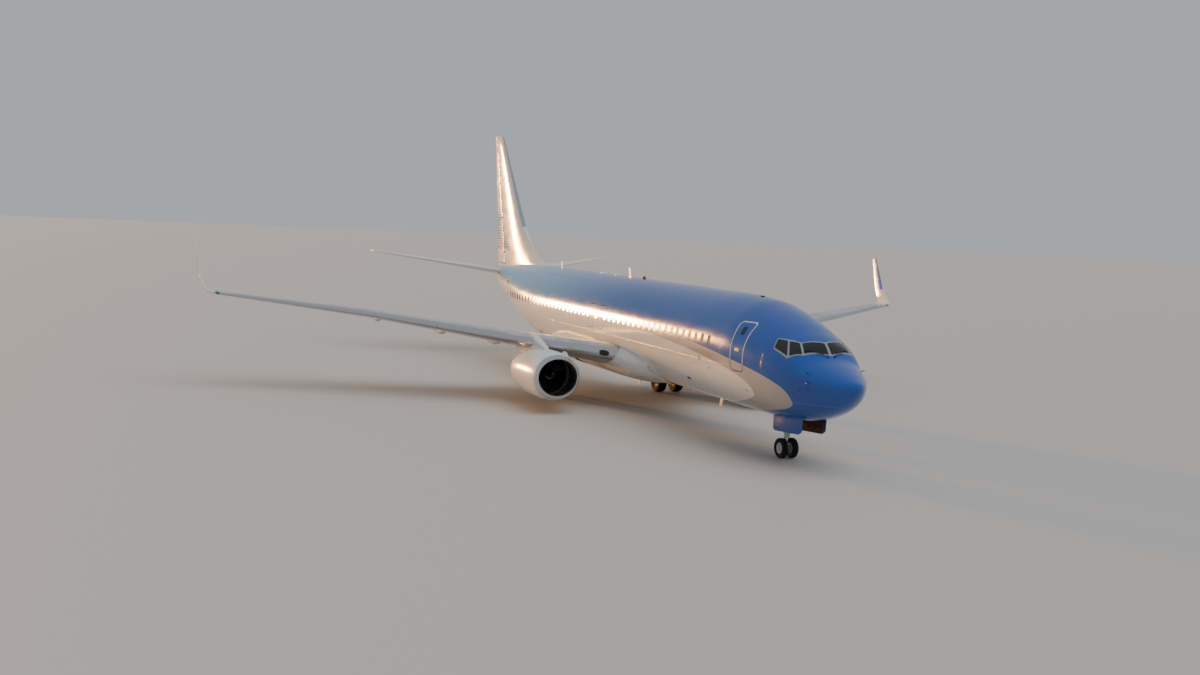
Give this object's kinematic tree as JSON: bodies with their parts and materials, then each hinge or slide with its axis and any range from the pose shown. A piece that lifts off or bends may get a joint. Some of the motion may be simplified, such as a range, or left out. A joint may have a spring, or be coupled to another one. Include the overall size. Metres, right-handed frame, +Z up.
{
  "type": "twin-engined narrow-body airliner",
  "caption": "Narrow-body jet airliner standing on its gear: swept wings with blended winglets, underwing turbofans, turning wheels and fans, nose steering, hinged controls and exits.",
  "frame": {"origin": "on the floor under the middle of the bounding box", "axes": "+Z up, the nose towards -Y, the left wing towards +X"},
  "size_m": [35.7848, 39.4698, 12.55],
  "materials": {
    "blue_paint": "gloss polyurethane paint, royal blue",
    "white_paint": "gloss polyurethane paint, white",
    "grey_paint": "satin paint, light grey",
    "bare_metal": "polished or clear-coated bare metal",
    "engine_metal": "heat-tinted alloy",
    "fan_metal": "dark titanium",
    "glazing": "heated laminated windscreen panes in light frames",
    "tyre_rubber": "black rubber"
  },
  "bodies": {
    "root": {"radome": "blue_paint", "nose_section": "blue_paint", "forward_fuselage": "blue_paint", "centre_fuselage": "blue_paint", "aft_fuselage": "white_paint", "tail_cone": "white_paint", "wing_body_fairing": "white_paint", "flight_deck_glazing": "glazing", "door_forward_left": "blue_paint", "door_forward_right": "blue_paint", "door_aft_left": "white_paint", "door_aft_right": "white_paint", "hold_door_forward": "white_paint", "hold_door_aft": "white_paint", "fin": "white_paint", "nose_leg": "white_paint", "wing_left": "grey_paint", "wing_right": "grey_paint", "slats_left": "bare_metal", "slats_right": "bare_metal", "flap_inboard_left": "grey_paint", "flap_inboard_right": "grey_paint", "flap_outboard_left": "grey_paint", "flap_outboard_right": "grey_paint", "winglet_left": "blue_paint", "winglet_right": "blue_paint", "nacelle_left": "white_paint", "nacelle_right": "white_paint", "engine_core_left": "engine_metal", "engine_core_right": "engine_metal", "pylon_left": "white_paint", "pylon_right": "white_paint", "stabiliser_left": "white_paint", "stabiliser_right": "white_paint", "main_leg_left": "white_paint", "main_leg_right": "white_paint", "nose_gear_door_left": "blue_paint", "nose_gear_door_right": "blue_paint"},
    "main_wheels_left": {"main_wheels_left": "bare_metal", "tyre_main_left_inner": "tyre_rubber", "tyre_main_left_outer": "tyre_rubber"},
    "main_wheels_right": {"main_wheels_right": "bare_metal", "tyre_main_right_inner": "tyre_rubber", "tyre_main_right_outer": "tyre_rubber"},
    "nose_steering": {"nose_steering": "bare_metal"},
    "nose_wheels": {"nose_wheels": "bare_metal", "tyre_nose_left": "tyre_rubber", "tyre_nose_right": "tyre_rubber"},
    "fan_left": {"fan_left": "fan_metal"},
    "fan_right": {"fan_right": "fan_metal"},
    "rudder": {"rudder": "white_paint"},
    "elevator_left": {"elevator_left": "white_paint"},
    "elevator_right": {"elevator_right": "white_paint"},
    "aileron_left": {"aileron_left": "grey_paint"},
    "aileron_right": {"aileron_right": "grey_paint"},
    "exit_left_front": {"exit_left_front": "blue_paint"},
    "exit_left_rear": {"exit_left_rear": "blue_paint"},
    "exit_right_front": {"exit_right_front": "blue_paint"},
    "exit_right_rear": {"exit_right_rear": "blue_paint"}
  },
  "joints": [
    {"name": "main_wheels_left_turn", "type": "hinge", "parent": "root", "child": "main_wheels_left", "pos_m": [2.86, -0.125, 0.565], "axis": [1, 0, 0], "continuous": true},
    {"name": "main_wheels_right_turn", "type": "hinge", "parent": "root", "child": "main_wheels_right", "pos_m": [-2.86, -0.125, 0.565], "axis": [1, 0, 0], "continuous": true},
    {"name": "nose_steer", "type": "hinge", "parent": "root", "child": "nose_steering", "pos_m": [0, -15.725, 0.82], "axis": [0, 0, 1], "range_deg": [-78, 78]},
    {"name": "nose_wheels_turn", "type": "hinge", "parent": "nose_steering", "child": "nose_wheels", "pos_m": [0, -15.725, 0.343], "axis": [1, 0, 0], "continuous": true},
    {"name": "fan_left_turn", "type": "hinge", "parent": "root", "child": "fan_left", "pos_m": [4.83, -5.085, 1.53], "axis": [0, 1, 0], "continuous": true},
    {"name": "fan_right_turn", "type": "hinge", "parent": "root", "child": "fan_right", "pos_m": [-4.83, -5.085, 1.53], "axis": [0, 1, 0], "continuous": true},
    {"name": "rudder_turn", "type": "hinge", "parent": "root", "child": "rudder", "pos_m": [0, 15.7976, 5.26], "axis": [0, 0.3636, 0.9315], "range_deg": [-26, 26]},
    {"name": "elevator_left_turn", "type": "hinge", "parent": "root", "child": "elevator_left", "pos_m": [0.8, 17.0271, 4.8077], "axis": [0.9281, 0.3545, 0.1139], "range_deg": [-20, 21]},
    {"name": "elevator_right_turn", "type": "hinge", "parent": "root", "child": "elevator_right", "pos_m": [-0.8, 17.0271, 4.8077], "axis": [0.9281, -0.3545, -0.1139], "range_deg": [-20, 21]},
    {"name": "aileron_left_turn", "type": "hinge", "parent": "root", "child": "aileron_left", "pos_m": [12.5, 2.43199, 3.56122], "axis": [0.9492, 0.2998, 0.0957], "range_deg": [-20, 20]},
    {"name": "aileron_right_turn", "type": "hinge", "parent": "root", "child": "aileron_right", "pos_m": [-12.5, 2.43199, 3.56122], "axis": [0.9492, -0.2998, -0.0957], "range_deg": [-20, 20]},
    {"name": "exit_left_front_open", "type": "hinge", "parent": "root", "child": "exit_left_front", "pos_m": [1.7508, -3.135, 4.11], "axis": [0, -1, 0], "range_deg": [0, 135]},
    {"name": "exit_left_rear_open", "type": "hinge", "parent": "root", "child": "exit_left_rear", "pos_m": [1.7508, -2.035, 4.11], "axis": [0, -1, 0], "range_deg": [0, 135]},
    {"name": "exit_right_front_open", "type": "hinge", "parent": "root", "child": "exit_right_front", "pos_m": [-1.7508, -3.135, 4.11], "axis": [0, 1, 0], "range_deg": [0, 135]},
    {"name": "exit_right_rear_open", "type": "hinge", "parent": "root", "child": "exit_right_rear", "pos_m": [-1.7508, -2.035, 4.11], "axis": [0, 1, 0], "range_deg": [0, 135]}
  ],
  "couplings": [
    {"joint": "elevator_right_turn", "follows": "elevator_left_turn", "ratio": 1},
    {"joint": "aileron_right_turn", "follows": "aileron_left_turn", "ratio": -1}
  ]
}
